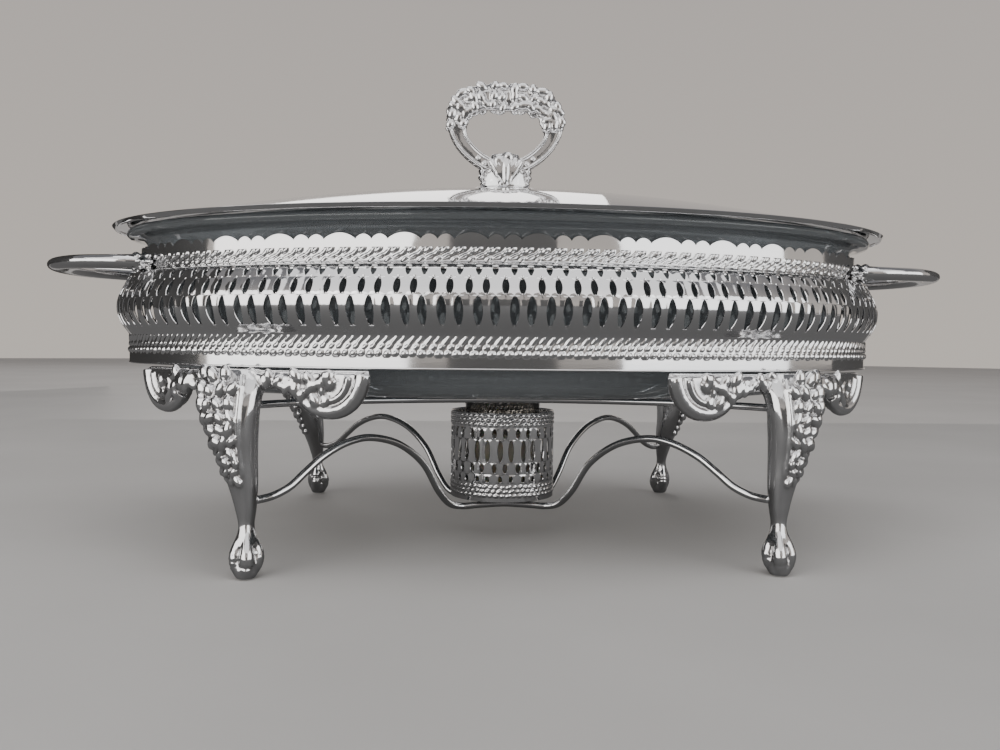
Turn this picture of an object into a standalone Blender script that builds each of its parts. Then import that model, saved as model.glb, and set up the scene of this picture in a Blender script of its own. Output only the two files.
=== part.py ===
"""Oval footed food warmer: glass casserole dish, lift-off chrome lid, pierced gallery
stand on four cast cabriole legs, and a candle burner cup slung on two wires.

Metres, +Z up. The origin is the middle of the footprint, on the surface that the feet
stand on. X is the long axis, and -Y is the front.
"""

import math

import bpy
import bmesh
from mathutils import Vector

# ---------------------------------------------------------------- driving dimensions
GAP = 0.0003                  # clearance kept between neighbouring pieces

BULGE_A = 0.165               # gallery bulge, half length
BULGE_B = 0.100               # gallery bulge, half width
SHEET = 0.0008                # gallery and burner sheet thickness
BAND_BOTTOM = 0.0727          # lower edge of the gallery band
BAND_TOP = 0.1187             # upper edge of the gallery band
BAND_LOW_OFFSET = -0.0048     # band offset from the bulge along its lower strip
NECK_OFFSET = -0.0095         # band offset from the bulge at its neck
FLANGE_WIDTH = 0.0055         # the band's inward flange, which the legs are screwed to

DISH_FLOOR_Z = 0.0613         # underside of the glass dish
DISH_RIM_Z = 0.1275           # top of the dish's rim flange
DISH_WALL = 0.0042            # glass thickness

LID_A = 0.1667                # lid rim, half length
LID_B = 0.1017                # lid rim, half width
LID_EDGE_Z = 0.1288           # top of the lid's rim flange
LID_TOP_Z = 0.1485            # top of the lid's crown
LID_SHEET = 0.0009
LID_HOLE_R = 0.0023
LID_SCREW_R = 0.0016
ROSETTE_THICK = 0.0018

LEG_ANGLE = 0.690             # leg station on the oval, from the front's middle

RAIL_R = 0.00140              # dish rail wire
WIRE_R = 0.00145              # burner wire
CUP_R = 0.02285               # burner cup, outside
CUP_BOTTOM_Z = 0.01455
CUP_TOP_Z = 0.0525

LEG_SCREW_INSET = 0.0031      # leg screw, inwards from the band's outer face
LEG_SCREW_R = 0.0011
HANDLE_Z = 0.1126             # middle height of the two side handles
HANDLE_ARM_Y = 0.0350         # where a handle's arm meets the band's neck
HANDLE_SCREW_R = 0.0012

OVAL_STEPS = 48               # points round each oval
ROUND_STEPS = 16              # points round each small turned piece

CHROME = ((0.80, 0.80, 0.81), 0.06, 1.0)
CAST_CHROME = ((0.74, 0.74, 0.75), 0.12, 1.0)
STEEL = ((0.62, 0.62, 0.63), 0.25, 1.0)
GLASS = ((0.70, 0.78, 0.78), 0.03, 0.0)
ALUMINIUM = ((0.78, 0.78, 0.79), 0.30, 1.0)
WAX = ((0.90, 0.87, 0.80), 0.45, 0.0)
WICK = ((0.80, 0.77, 0.70), 0.90, 0.0)


# ---------------------------------------------------------------- general helpers
def clear_scene():
    for old in list(bpy.data.objects):
        bpy.data.objects.remove(old, do_unlink=True)


def material(name, look):
    colour, roughness, metallic = look
    result = bpy.data.materials.new(name)
    result.use_nodes = True
    shader = result.node_tree.nodes["Principled BSDF"]
    shader.inputs["Base Color"].default_value = (*colour, 1.0)
    shader.inputs["Roughness"].default_value = roughness
    shader.inputs["Metallic"].default_value = metallic
    return result


def add_object(name, data, look, parent=None):
    obj = bpy.data.objects.new(name, data)
    bpy.context.scene.collection.objects.link(obj)
    obj.data.materials.append(material(name, look))
    obj.parent = parent
    return obj


def add_empty(name, location):
    empty = bpy.data.objects.new(name, None)
    empty.location = location
    bpy.context.scene.collection.objects.link(empty)
    return empty


def mesh_from_bmesh(name, bm, smooth_angle=40.0):
    bmesh.ops.recalc_face_normals(bm, faces=bm.faces)
    mesh = bpy.data.meshes.new(name)
    bm.to_mesh(mesh)
    bm.free()
    mesh.shade_smooth()
    mesh.set_sharp_from_angle(angle=math.radians(smooth_angle))
    return mesh


def loft(name, rings, closed=False, capped=True):
    """A skin over rings of equal point counts. closed joins the last ring to the first."""
    bm = bmesh.new()
    rows = [[bm.verts.new(point) for point in ring] for ring in rings]
    pairs = list(zip(rows, rows[1:]))
    if closed:
        pairs.append((rows[-1], rows[0]))
    count = len(rows[0])
    for lower, upper in pairs:
        for i in range(count):
            j = (i + 1) % count
            bm.faces.new((lower[i], lower[j], upper[j], upper[i]))
    if capped and not closed:
        bm.faces.new(rows[0])
        bm.faces.new(rows[-1])
    return mesh_from_bmesh(name, bm)


def oval(a, b, z, steps=OVAL_STEPS):
    turns = [math.tau * i / steps for i in range(steps)]
    return [Vector((a * math.cos(t), b * math.sin(t), z)) for t in turns]


def circle(radius, z, steps=ROUND_STEPS):
    return oval(radius, radius, z, steps)


def turned(name, profile, steps=ROUND_STEPS, closed=False):
    """A turned piece about Z from (radius, z) points."""
    return loft(name, [circle(radius, z, steps) for radius, z in profile], closed=closed)


def smooth_path(points, steps, closed=False):
    """Catmull-Rom curve through points (tuples of any length), steps per span."""
    count = len(points)
    spans = count if closed else count - 1
    result = []
    for span in range(spans):
        picks = []
        for k in (-1, 0, 1, 2):
            index = span + k
            picks.append(points[index % count] if closed else points[min(max(index, 0), count - 1)])
        for step in range(steps):
            u = step / steps
            weights = (-0.5 * u + u * u - 0.5 * u ** 3,
                       1 - 2.5 * u * u + 1.5 * u ** 3,
                       0.5 * u + 2 * u * u - 1.5 * u ** 3,
                       -0.5 * u * u + 0.5 * u ** 3)
            result.append(tuple(sum(w * p[axis] for w, p in zip(weights, picks))
                                for axis in range(len(points[0]))))
    if not closed:
        result.append(tuple(points[-1]))
    return result


def mirrored_path(half, axis=0):
    """half runs from one side to the middle; its mirror image along axis is added."""
    other = []
    for point in reversed(half[:-1]):
        flipped = list(point)
        flipped[axis] = -flipped[axis]
        other.append(tuple(flipped))
    return list(half) + other


def wire(name, points, radius, look, resolution=2):
    curve = bpy.data.curves.new(name, "CURVE")
    curve.dimensions = "3D"
    curve.bevel_depth = radius
    curve.bevel_resolution = resolution
    curve.use_fill_caps = True
    spline = curve.splines.new("POLY")
    spline.points.add(len(points) - 1)
    for target, point in zip(spline.points, points):
        target.co = (*point, 1.0)
    spline.use_smooth = True
    return add_object(name, curve, look)


def guide(name, mesh, parent=None):
    """A shape that only cuts or joins another piece."""
    obj = bpy.data.objects.new(name, mesh)
    obj.hide_render = True
    obj.display_type = "WIRE"
    bpy.context.scene.collection.objects.link(obj)
    obj.parent = parent
    return obj


def cylinder(name, start, direction, length, radius, parent=None, steps=12):
    """A cutter: a closed cylinder from start along direction."""
    bm = bmesh.new()
    bmesh.ops.create_cone(bm, cap_ends=True, segments=steps, radius1=radius, radius2=radius,
                          depth=length)
    bmesh.ops.translate(bm, verts=bm.verts, vec=(0.0, 0.0, length / 2))
    cutter = guide(name, mesh_from_bmesh(name, bm), parent)
    cutter.location = start
    cutter.rotation_mode = "QUATERNION"
    cutter.rotation_quaternion = Vector(direction).to_track_quat("Z", "Y")
    return cutter


def boolean(target, tool, operation):
    step = target.modifiers.new(tool.name, "BOOLEAN")
    step.object = tool
    step.operation = operation
    step.solver = "EXACT"


def solidify(obj, thickness):
    step = obj.modifiers.new("sheet", "SOLIDIFY")
    step.thickness = thickness
    step.offset = -1.0
    step.use_even_offset = True
    step.use_quality_normals = True


# ---------------------------------------------------------------- places on the oval
def oval_place(angle, offset, z, side=(1, 1)):
    """The point at angle from the middle of the front, offset outwards from the band's
    lower edge; side mirrors it in X and in Y. Returns the point and the outward normal."""
    a = BULGE_A + BAND_LOW_OFFSET
    b = BULGE_B + BAND_LOW_OFFSET
    foot = Vector((a * math.sin(angle), -b * math.cos(angle), 0.0))
    normal = Vector((foot.x / a ** 2, foot.y / b ** 2, 0.0)).normalized()
    point = foot + normal * offset + Vector((0.0, 0.0, z))
    mirror = Vector((side[0], side[1], 1))
    return point * mirror, normal * mirror


# ---------------------------------------------------------------- glass dish
def build_dish(parent):
    """Oval casserole: flat bottom, curved sides, a rim flange that the lid rests on."""
    outside = [(0.1160, 0.0620, DISH_FLOOR_Z), (0.1265, 0.0710, 0.0623),
               (0.1385, 0.0795, 0.0680), (0.1455, 0.0835, 0.0800),
               (0.1500, 0.0862, 0.1000), (0.1525, 0.0878, 0.1180),
               (0.1540, 0.0890, 0.1235), (0.1610, 0.0962, 0.1243),
               (0.1610, 0.0962, DISH_RIM_Z)]
    core = [(0.1540, 0.0893, DISH_RIM_Z), (0.1525, 0.0878, 0.1180), (0.1500, 0.0862, 0.1000),
            (0.1455, 0.0835, 0.0820), (0.1370, 0.0780, 0.0705), (0.1240, 0.0690, 0.0656)]
    rings = [oval(a, b, z) for a, b, z in outside]
    rings += [oval(a - DISH_WALL, b - DISH_WALL, z) for a, b, z in core]
    return add_object("glass_dish", loft("glass_dish", rings), GLASS, parent)


# ---------------------------------------------------------------- lid
def build_lid(parent):
    """Thin sheet lid: a flat rim flange with a turned-down edge and a low, gently peaked crown."""
    shoulder = 0.955
    fullness = 1.8
    crown_low = LID_EDGE_Z + 0.0002
    rise = LID_TOP_Z - crown_low
    surface = [(1.0, LID_EDGE_Z - 0.0024), (1.0, LID_EDGE_Z), (0.985, LID_EDGE_Z + 0.0003)]
    for reach in (0.955, 0.86, 0.74, 0.61, 0.48, 0.35, 0.23, 0.13):
        surface.append((reach, crown_low + rise * (1 - (reach / shoulder) ** fullness)))
    rings = [oval(LID_A * k, LID_B * k, z) for k, z in surface]
    rings.append(oval(LID_HOLE_R, LID_HOLE_R, LID_TOP_Z))
    lid = add_object("lid_dome", loft("lid_dome", rings, capped=False), CHROME, parent)
    solidify(lid, LID_SHEET)
    return lid


def build_rosette(parent):
    """Oval leaf plate between the crown and the handle's stem."""
    low = LID_TOP_Z + GAP
    top = low + ROSETTE_THICK
    rings = [oval(0.0220, 0.0120, low, 32), oval(0.0222, 0.0122, low + 0.0007, 32),
             oval(0.0150, 0.0095, top, 32), oval(LID_HOLE_R, LID_HOLE_R, top, 32),
             oval(LID_HOLE_R, LID_HOLE_R, low, 32)]
    return add_object("lid_rosette", loft("lid_rosette", rings, closed=True), CAST_CHROME, parent)


def swept(stations, plane_normal, sides, closed=False):
    """Rings for a bar in a plane. Each station is (x, y, z, half across, half along the
    plane's normal)."""
    rings = []
    count = len(stations)
    upright = Vector(plane_normal)
    for i, station in enumerate(stations):
        before = stations[(i - 1) % count] if closed or i > 0 else station
        after = stations[(i + 1) % count] if closed or i < count - 1 else station
        along = (Vector(after[:3]) - Vector(before[:3])).normalized()
        across = along.cross(upright)
        ring = []
        for k in range(sides):
            turn = math.tau * k / sides
            ring.append(Vector(station[:3]) + across * (station[3] * math.cos(turn))
                        + upright * (station[4] * math.sin(turn)))
        rings.append(ring)
    return rings


def build_lid_handle(parent):
    """Cast loop handle on a waisted stem, with a blind screw hole up the stem."""
    half = [(0.0000, 0.0, 0.1598, 0.0030, 0.0034), (-0.0060, 0.0, 0.1608, 0.0030, 0.0034),
            (-0.0112, 0.0, 0.1632, 0.0030, 0.0034), (-0.0165, 0.0, 0.1676, 0.0032, 0.0035),
            (-0.0203, 0.0, 0.1730, 0.0036, 0.0036), (-0.0216, 0.0, 0.1800, 0.0044, 0.0040),
            (-0.0193, 0.0, 0.1868, 0.0052, 0.0043), (-0.0118, 0.0, 0.1906, 0.0058, 0.0045),
            (0.0000, 0.0, 0.1908, 0.0062, 0.0046)]
    other = [(-point[0], *point[1:]) for point in reversed(half[1:-1])]
    stations = smooth_path(half + other, 2, closed=True)
    loop_mesh = loft("lid_handle", swept(stations, (0, 1, 0), 10, closed=True), closed=True)
    handle = add_object("lid_handle", loop_mesh, CAST_CHROME, parent)
    base = LID_TOP_Z + 2 * GAP + ROSETTE_THICK
    levels = [(base, 0.0105, 0.0052), (base + 0.0015, 0.0116, 0.0055),
              (base + 0.0050, 0.0112, 0.0048), (base + 0.0080, 0.0100, 0.0042),
              (0.1605, 0.0080, 0.0036)]
    stem = guide("stem_union", loft("stem", [oval(a, b, z, 16) for z, a, b in levels]), parent)
    boolean(handle, stem, "UNION")
    drill = cylinder("stem_drill", (0, 0, base - 0.001), (0, 0, 1), 0.0095, LID_SCREW_R + GAP,
                     parent)
    boolean(handle, drill, "DIFFERENCE")
    return handle


def build_lid_fixing(parent):
    """Washer and screw under the crown, up into the handle's stem."""
    washer_top = LID_TOP_Z - LID_SHEET - GAP
    washer_low = washer_top - 0.0008
    washer = [(0.0022, washer_low), (0.0060, washer_low), (0.0060, washer_top),
              (0.0022, washer_top)]
    add_object("lid_washer", turned("lid_washer", washer, closed=True), STEEL, parent)
    head_top = washer_low - GAP
    tip = LID_TOP_Z + 0.0095
    screw = [(0.0028, head_top - 0.0022), (0.0040, head_top - 0.0014), (0.0040, head_top),
             (LID_SCREW_R, head_top), (LID_SCREW_R, tip - 0.0008), (0.0009, tip)]
    add_object("lid_screw", turned("lid_screw", screw), STEEL, parent)


# ---------------------------------------------------------------- gallery stand
def build_band():
    """Sheet band: an inward flange below, a plain strip, the bulge and an upright neck."""
    inner = BAND_LOW_OFFSET - FLANGE_WIDTH
    profile = [(inner, BAND_BOTTOM), (BAND_LOW_OFFSET, BAND_BOTTOM), (BAND_LOW_OFFSET, 0.0845),
               (-0.0024, 0.0868), (-0.0006, 0.0910), (0.0, 0.0960), (-0.0010, 0.1005),
               (-0.0035, 0.1042), (-0.0072, 0.1074), (-0.0093, 0.1100), (NECK_OFFSET, 0.1150),
               (NECK_OFFSET + 0.0004, BAND_TOP)]
    rings = [oval(BULGE_A + offset, BULGE_B + offset, z) for offset, z in profile]
    band = add_object("gallery_band", loft("gallery_band", rings, capped=False), CHROME)
    solidify(band, SHEET)
    return band


# Wing stations along the leg's apron: (angle, lowest z, stand-off from the band).
APRON = [(0.325, 0.0700, 0.0015), (0.345, 0.0640, 0.0034), (0.385, 0.0575, 0.0052),
         (0.430, 0.0552, 0.0060), (0.475, 0.0578, 0.0054), (0.515, 0.0640, 0.0042),
         (0.560, 0.0668, 0.0036), (0.595, 0.0650, 0.0048), (0.668, 0.0560, 0.0070),
         (0.745, 0.0640, 0.0048), (0.805, 0.0668, 0.0036), (0.835, 0.0645, 0.0042),
         (0.870, 0.0582, 0.0054), (0.914, 0.0556, 0.0060), (0.960, 0.0585, 0.0050),
         (1.010, 0.0640, 0.0034), (1.045, 0.0700, 0.0015)]

# Leg levels: (z, along the oval towards the middle, outwards, half width, half depth).
LEG_TOP = BAND_BOTTOM - GAP
LEG_LEVELS = [(LEG_TOP, 0.0016, 0.0008, 0.0095, 0.0070), (0.0685, 0.0020, 0.0026, 0.0112, 0.0074),
              (0.0620, 0.0028, 0.0060, 0.0108, 0.0062), (0.0520, 0.0046, 0.0072, 0.0086, 0.0064),
              (0.0420, 0.0070, 0.0072, 0.0063, 0.0056), (0.0320, 0.0096, 0.0072, 0.0044, 0.0045),
              (0.0240, 0.0114, 0.0076, 0.0031, 0.0035), (0.0170, 0.0126, 0.0082, 0.0025, 0.0029),
              (0.0130, 0.0131, 0.0087, 0.0036, 0.0038), (0.0070, 0.0135, 0.0094, 0.0048, 0.0052),
              (0.0022, 0.0136, 0.0098, 0.0042, 0.0046), (0.0, 0.0136, 0.0098, 0.0030, 0.0034)]


def leg_point(side, along, out, z):
    """A point in a leg's own frame: along the oval towards the long side's middle, and out."""
    origin, normal = oval_place(LEG_ANGLE, 0.0, z, side)
    tangent = Vector((-abs(normal.y) * side[0], -abs(normal.x) * side[1], 0.0))
    return origin + tangent * along + normal * out


def wire_end(side, z):
    """Where a wire meets a leg: just clear of the leg's inner back corner at height z."""
    corner = 0.75
    for upper, lower in zip(LEG_LEVELS, LEG_LEVELS[1:]):
        if lower[0] <= z <= upper[0]:
            share = (z - lower[0]) / (upper[0] - lower[0])
            along, out, half_wide, half_deep = (
                low + share * (high - low) for low, high in zip(lower[1:], upper[1:]))
            return leg_point(side, along + corner * half_wide + 2 * GAP,
                             out - corner * half_deep - 2 * GAP, z)
    raise ValueError("height outside the leg")


def rounded(value, power):
    return math.copysign(abs(value) ** power, value)


def build_leg(name, side):
    """Cast cabriole leg with a shell wing either side of its knee, in one casting."""
    sides = 12
    squareness = 0.86
    rings = []
    for z, along, out, half_wide, half_deep in LEG_LEVELS:
        ring = []
        for k in range(sides):
            turn = math.tau * k / sides
            wide = half_wide * rounded(math.cos(turn), squareness)
            deep = half_deep * rounded(math.sin(turn), squareness)
            ring.append(leg_point(side, along + wide, out + deep, z))
        rings.append(ring)
    leg = add_object(name, loft(name, rings), CAST_CHROME)
    back = -0.0022
    outline = ((back, 1.0), (0.45, 1.0), (1.0, 0.72), (1.0, 0.35), (0.6, 0.05), (back, 0.0))
    sections = []
    for angle, low, stand in APRON:
        section = []
        for reach, share in outline:
            out = reach if reach < 0 else reach * stand
            z = low + (LEG_TOP - low) * share
            section.append(oval_place(angle, out, z, side)[0])
        sections.append(section)
    apron = guide(name + "_apron", loft(name + "_apron", sections))
    boolean(leg, apron, "UNION")
    socket, _ = oval_place(LEG_ANGLE, -LEG_SCREW_INSET, BAND_BOTTOM - 0.0075, side)
    drill = cylinder(name + "_drill", socket, (0, 0, 1), 0.0085, LEG_SCREW_R + GAP)
    boolean(leg, drill, "DIFFERENCE")
    return leg


def build_leg_screw(name, side, band):
    """Small screw down through the band's flange into the leg."""
    place, _ = oval_place(LEG_ANGLE, -LEG_SCREW_INSET, BAND_BOTTOM, side)
    seat = SHEET + GAP
    profile = [(0.0006, -0.0066), (LEG_SCREW_R, -0.0060), (LEG_SCREW_R, seat), (0.0020, seat),
               (0.0020, seat + 0.0008), (0.0012, seat + 0.0014)]
    screw = add_object(name, turned(name, profile, 12), STEEL)
    screw.location = place
    drill = cylinder(name + "_hole", place - Vector((0, 0, 0.001)), (0, 0, 1), 0.003,
                     LEG_SCREW_R + GAP)
    boolean(band, drill, "DIFFERENCE")


def build_side_handle(name, sign, band):
    """Cast horizontal loop at one end, screwed to the band's neck from inside."""
    a = BULGE_A + NECK_OFFSET
    b = BULGE_B + NECK_OFFSET
    root = Vector((sign * a * math.sqrt(1 - (HANDLE_ARM_Y / b) ** 2), -HANDLE_ARM_Y, HANDLE_Z))
    normal = Vector((root.x / a ** 2, root.y / b ** 2, 0.0)).normalized()
    stand_off = 4 * GAP
    near = [(*(root + normal * stand_off), 0.0068, 0.0035),
            (*(root + normal * (stand_off + 0.0016)), 0.0066, 0.0036),
            (*(root + normal * 0.0060), 0.0046, 0.0031)]
    bar = [(sign * 0.1585, -0.0392, HANDLE_Z, 0.0044, 0.0028),
           (sign * 0.1700, -0.0365, HANDLE_Z, 0.0047, 0.0027),
           (sign * 0.1800, -0.0278, HANDLE_Z, 0.0048, 0.0026),
           (sign * 0.1864, -0.0142, HANDLE_Z, 0.0050, 0.0026),
           (sign * 0.1884, 0.0, HANDLE_Z, 0.0050, 0.0026)]
    stations = smooth_path(mirrored_path(near + bar, axis=1), 2)
    handle = add_object(name, loft(name, swept(stations, (0, 0, 1), 10)), CAST_CHROME)
    for place, end in ((1, "front"), (-1, "back")):
        spot = Vector((root.x, root.y * place, root.z))
        out = Vector((normal.x, normal.y * place, 0.0))
        drill = cylinder(f"{name}_{end}_drill", spot - out * 0.003, out, 0.0100,
                         HANDLE_SCREW_R + GAP)
        boolean(handle, drill, "DIFFERENCE")
        boolean(band, drill, "DIFFERENCE")
        seat = -SHEET - 1.4 * GAP
        profile = [(0.0012, seat - 0.0012), (0.0022, seat - 0.0008), (0.0022, seat),
                   (HANDLE_SCREW_R, seat), (HANDLE_SCREW_R, 0.0060), (0.0006, 0.0065)]
        screw = add_object(f"{name}_screw_{end}", turned("handle_screw", profile, 12), STEEL)
        screw.location = spot
        screw.rotation_mode = "QUATERNION"
        screw.rotation_quaternion = out.to_track_quat("Z", "Y")


def build_rail(name, front):
    """Wire that the dish stands on, bowed inwards between the two legs of one side."""
    z = DISH_FLOOR_Z - GAP - RAIL_R
    half = [tuple(wire_end((-1, front), z)), (-0.0760, -0.0640 * front, z),
            (-0.0450, -0.0480 * front, z), (0.0, -0.0400 * front, z)]
    return wire(name, smooth_path(mirrored_path(half), 3), RAIL_R, CHROME)


def build_burner_wire(name, front):
    """Wire from leg to leg that arches up, dips beside the burner cup and runs under it."""
    foot_z = 0.0265
    under = CUP_BOTTOM_Z - GAP - WIRE_R
    half = [(-0.0870, -0.0785, 0.0270), (-0.0815, -0.0740, 0.0297), (-0.0765, -0.0693, 0.0345),
            (-0.0705, -0.0638, 0.0398), (-0.0628, -0.0563, 0.0438), (-0.0545, -0.0485, 0.0448),
            (-0.0440, -0.0383, 0.0410), (-0.0348, -0.0294, 0.0322), (-0.0285, -0.0235, 0.0200),
            (-0.0236, -0.0183, 0.0134), (-0.0180, -0.0152, 0.0117), (-0.0110, -0.0150, 0.0122),
            (0.0, -0.0150, under)]
    half = [(x, y * front, z) for x, y, z in half]
    half.insert(0, tuple(wire_end((-1, front), foot_z)))
    return wire(name, smooth_path(mirrored_path(half), 2), WIRE_R, CHROME)


# ---------------------------------------------------------------- burner
def build_burner_cup():
    """Sheet sleeve with a floor disc, standing on the two burner wires."""
    inner = CUP_R - SHEET
    sleeve = [(CUP_R, CUP_BOTTOM_Z), (CUP_R, CUP_TOP_Z), (inner, CUP_TOP_Z),
              (inner, CUP_BOTTOM_Z)]
    add_object("burner_sleeve", turned("burner_sleeve", sleeve, 40, closed=True), CHROME)
    edge = inner - GAP
    floor = [(edge, CUP_BOTTOM_Z), (edge, CUP_BOTTOM_Z + SHEET)]
    add_object("burner_floor", turned("burner_floor", floor, 40), STEEL)


def build_burner_insert(parent):
    """Glass candle holder with a wax candle and its wick, lifted out of the cup."""
    low = CUP_BOTTOM_Z + SHEET + GAP
    wall = 0.0015
    outside = [(0.0145, low), (0.0152, low + 0.0012), (0.0156, 0.0440), (0.0163, 0.0520),
               (0.0172, 0.0572)]
    inside = [(0.0172 - wall, 0.0572), (0.0163 - wall, 0.0520), (0.0156 - wall, 0.0440),
              (0.0150 - wall, low + 0.0030)]
    glass = turned("burner_glass", outside + inside, 24)
    add_object("burner_glass", glass, GLASS, parent)
    base = low + 0.0030 + GAP
    top = 0.0430
    candle = [(0.0150 - wall - 2 * GAP, base), (0.0154 - wall - 2 * GAP, top),
              (0.0040, top - 0.0010)]
    add_object("candle_wax", turned("candle_wax", candle, 20), WAX, parent)
    wick = [(0.0007, top - 0.0010 + GAP), (0.0006, 0.0500)]
    add_object("candle_wick", turned("candle_wick", wick, 8), WICK, parent)


def main():
    clear_scene()
    dish_body = add_empty("dish_body", (0.0, 0.0, 0.0))
    lid_body = add_empty("lid_body", (0.0, 0.0, 0.0))
    lid_body.parent = dish_body
    insert_body = add_empty("burner_insert_body", (0.0, 0.0, 0.0))

    build_dish(dish_body)
    build_lid(lid_body)
    build_rosette(lid_body)
    build_lid_handle(lid_body)
    build_lid_fixing(lid_body)

    band = build_band()
    for front, end in ((1, "front"), (-1, "back")):
        for right, hand in ((-1, "left"), (1, "right")):
            build_leg(f"leg_{end}_{hand}", (right, front))
            build_leg_screw(f"leg_screw_{end}_{hand}", (right, front), band)
        build_rail(f"dish_rail_{end}", front)
        build_burner_wire(f"burner_wire_{end}", front)
    build_side_handle("handle_left", -1, band)
    build_side_handle("handle_right", 1, band)

    build_burner_cup()
    build_burner_insert(insert_body)


main()
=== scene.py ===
"""Looks of the oval food warmer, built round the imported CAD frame."""
import math

import bpy
import bmesh
import numpy as np
from mathutils import Matrix, Vector


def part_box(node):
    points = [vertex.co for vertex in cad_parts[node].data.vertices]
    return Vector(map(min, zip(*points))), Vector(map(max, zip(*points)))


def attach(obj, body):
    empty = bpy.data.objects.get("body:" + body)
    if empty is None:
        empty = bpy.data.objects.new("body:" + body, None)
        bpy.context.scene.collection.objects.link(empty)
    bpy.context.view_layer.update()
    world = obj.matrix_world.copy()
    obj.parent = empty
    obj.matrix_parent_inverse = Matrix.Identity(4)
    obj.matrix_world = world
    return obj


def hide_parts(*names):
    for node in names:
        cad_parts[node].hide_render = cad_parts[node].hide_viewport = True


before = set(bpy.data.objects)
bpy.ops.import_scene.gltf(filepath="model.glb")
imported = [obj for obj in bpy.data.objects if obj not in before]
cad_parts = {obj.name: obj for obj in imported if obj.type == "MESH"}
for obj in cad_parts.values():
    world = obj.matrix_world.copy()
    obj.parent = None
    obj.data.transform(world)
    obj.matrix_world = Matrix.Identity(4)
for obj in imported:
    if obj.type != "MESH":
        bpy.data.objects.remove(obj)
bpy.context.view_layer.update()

MM = 0.001
UP = np.array([0.0, 0.0, 1.0])
SHEET = 0.8                   # plate thickness, millimetres
PITCHES = 136                 # pattern repeats round the gallery
STRIP_IN = 4.8 * MM           # how far the band's lower strip stands in from the bulge
NECK_IN = 9.5 * MM            # and its neck
SIDE_HANDLE_Z = 112.6 * MM
SIDE_ROOT_Y = 35.0 * MM       # the side handles' roots, either way from the long axis


# ================================================================ places from the frame
def corner_high(node):
    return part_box(node)[1]


def corner_low(node):
    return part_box(node)[0]


BULGE_A, BULGE_B, _ = corner_high("gallery_band")
BAND_LOW_Z = corner_low("gallery_band").z
CUP_R = corner_high("burner_sleeve").x
CUP_LOW_Z = corner_low("burner_sleeve").z
CUP_TOP_Z = corner_high("burner_sleeve").z
LID_A, LID_B, LID_TOP_Z = corner_high("lid_dome")
LID_LOW_Z = corner_low("lid_dome").z
STEM_LOW_Z = corner_low("lid_handle").z


# ================================================================ materials
def shader_of(name, colour, roughness, metallic):
    mat = bpy.data.materials.new(name)
    mat.use_nodes = True
    shader = mat.node_tree.nodes["Principled BSDF"]
    shader.inputs["Base Color"].default_value = (*colour, 1.0)
    shader.inputs["Roughness"].default_value = roughness
    shader.inputs["Metallic"].default_value = metallic
    return mat, shader


def add_node(mat, kind, **settings):
    node = mat.node_tree.nodes.new(kind)
    for key, value in settings.items():
        node.inputs[key].default_value = value
    return node


def link(mat, source, target):
    mat.node_tree.links.new(source, target)


def noise(mat, scale, detail=3.0, stretch=None):
    """Noise in the object's own space, optionally stretched along an axis."""
    place = add_node(mat, "ShaderNodeTexCoord").outputs["Object"]
    if stretch:
        mapping = add_node(mat, "ShaderNodeMapping", Scale=stretch)
        link(mat, place, mapping.inputs["Vector"])
        place = mapping.outputs["Vector"]
    node = add_node(mat, "ShaderNodeTexNoise", Scale=scale, Detail=detail)
    link(mat, place, node.inputs["Vector"])
    return node.outputs["Fac"]


def ramp(mat, source, stops, target):
    """A value or colour ramp into target; stops are (position, grey value or rgb)."""
    node = add_node(mat, "ShaderNodeValToRGB")
    elements = node.color_ramp.elements
    while len(elements) < len(stops):
        elements.new(0.5)
    for element, (position, value) in zip(elements, stops):
        element.position = position
        rgb = (value,) * 3 if isinstance(value, (int, float)) else value
        element.color = (*rgb, 1.0)
    link(mat, source, node.inputs["Fac"])
    link(mat, node.outputs["Color"], target)


def bump(mat, shader, height, distance, under=None):
    node = add_node(mat, "ShaderNodeBump", Strength=1.0, Distance=distance)
    link(mat, height, node.inputs["Height"])
    if under is not None:
        link(mat, under, node.inputs["Normal"])
    link(mat, node.outputs["Normal"], shader.inputs["Normal"])
    return node.outputs["Normal"]


def chrome_sheet(name, wave=0.00010, rough=(0.035, 0.13), tint=(0.80, 0.80, 0.81)):
    """Mirror plating on thin sheet: slow waves, fine rubbed scratches, faint fingermarks."""
    mat, shader = shader_of(name, tint, 0.06, 1.0)
    ramp(mat, noise(mat, 38.0, 5.0), [(0.35, rough[0]), (0.72, rough[1])],
         shader.inputs["Roughness"])
    ramp(mat, noise(mat, 14.0, 2.0), [(0.30, tuple(c * 0.93 for c in tint)), (0.70, tint)],
         shader.inputs["Base Color"])
    waves = bump(mat, shader, noise(mat, 26.0, 1.0), wave)
    bump(mat, shader, noise(mat, 900.0, 2.0, stretch=(0.15, 1.0, 1.0)), 0.000004, waves)
    return mat


def cast_chrome(name):
    """Plating over a casting: painted highlight lightening the raised tops, painted shade darkening
    the dull recesses, fine pitting.
    """
    mat, shader = shader_of(name, (0.76, 0.76, 0.77), 0.1, 1.0)
    point = add_node(mat, "ShaderNodeNewGeometry").outputs["Pointiness"]
    # Painted shade and highlight: low pointiness darkens the base colour in the recesses, high
    # pointiness lightens it on the raised tops; roughness also rises in the recesses.
    ramp(mat, point, [(0.455, (0.34, 0.33, 0.33)), (0.50, (0.70, 0.70, 0.71)),
                      (0.56, (0.84, 0.84, 0.85))], shader.inputs["Base Color"])
    ramp(mat, point, [(0.455, 0.30), (0.50, 0.09), (0.56, 0.05)], shader.inputs["Roughness"])
    pits = bump(mat, shader, noise(mat, 420.0, 3.0), 0.000025)
    bump(mat, shader, noise(mat, 60.0, 1.0), 0.00012, pits)
    return mat


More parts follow.
